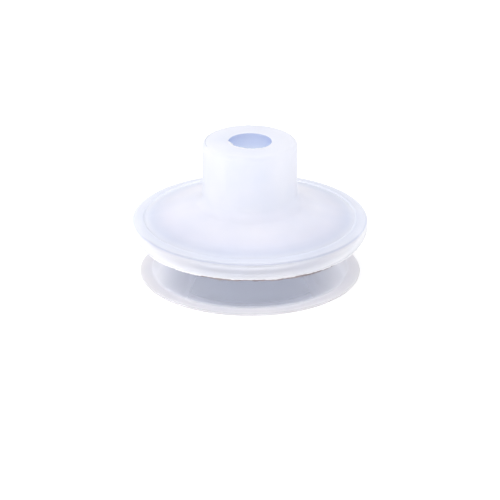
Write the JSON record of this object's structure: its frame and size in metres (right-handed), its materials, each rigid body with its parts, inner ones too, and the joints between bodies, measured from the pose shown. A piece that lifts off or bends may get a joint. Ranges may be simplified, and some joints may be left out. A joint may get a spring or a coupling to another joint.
{
  "type": "bellows vacuum suction cup",
  "caption": "Round bellows suction cup in milky silicone: a thick bored neck, one wide fold and a thin flared sealing lip, which press flat and tilt under load.",
  "frame": {"origin": "centre of the sealing face, on the cup's axis, in the plane that the lip rests on", "axes": "+Z along the cup's axis from the sealing lip up to the neck; the cup is round about Z, so X and Y are free"},
  "size_m": [0.032, 0.032, 0.019],
  "materials": {
    "silicone_thick": "satin milky white silicone",
    "silicone_thin": "satin translucent bluish silicone"
  },
  "bodies": {
    "lip": {"sealing_lip": "silicone_thin", "lip_skirt": "silicone_thin"},
    "waist": {"waist_ring": "silicone_thin"},
    "web": {"lower_web": "silicone_thin"},
    "fold": {"fold_rim": "silicone_thick", "upper_web": "silicone_thin"},
    "neck": {"shoulder": "silicone_thick", "neck_sleeve": "silicone_thick"}
  },
  "joints": [
    {"name": "skirt_flatten", "type": "slide", "parent": "lip", "child": "waist", "axis": [0, 0, -1], "range_m": [0, 0.0016], "stiffness_N_per_m": 100, "springref_m": -0.0005, "deforming": ["lip_skirt"]},
    {"name": "fold_close", "type": "slide", "parent": "waist", "child": "web", "axis": [0, 0, -1], "range_m": [0, 0.0007], "stiffness_N_per_m": 300, "deforming": ["lower_web"]},
    {"name": "lip_tilt", "type": "hinge", "parent": "web", "child": "fold", "pos_m": [0, 0, 0.0052], "axis": [1, 0, 0], "range_deg": [-6, 6], "stiffness_Nm_per_rad": 0.01, "deforming": ["lower_web"]},
    {"name": "bellows_stroke", "type": "slide", "parent": "fold", "child": "neck", "axis": [0, 0, -1], "range_m": [0, 0.002], "stiffness_N_per_m": 100, "springref_m": -0.0005, "deforming": ["upper_web"]}
  ],
  "couplings": [
    {"joint": "fold_close", "follows": "bellows_stroke", "ratio": 0.35}
  ]
}
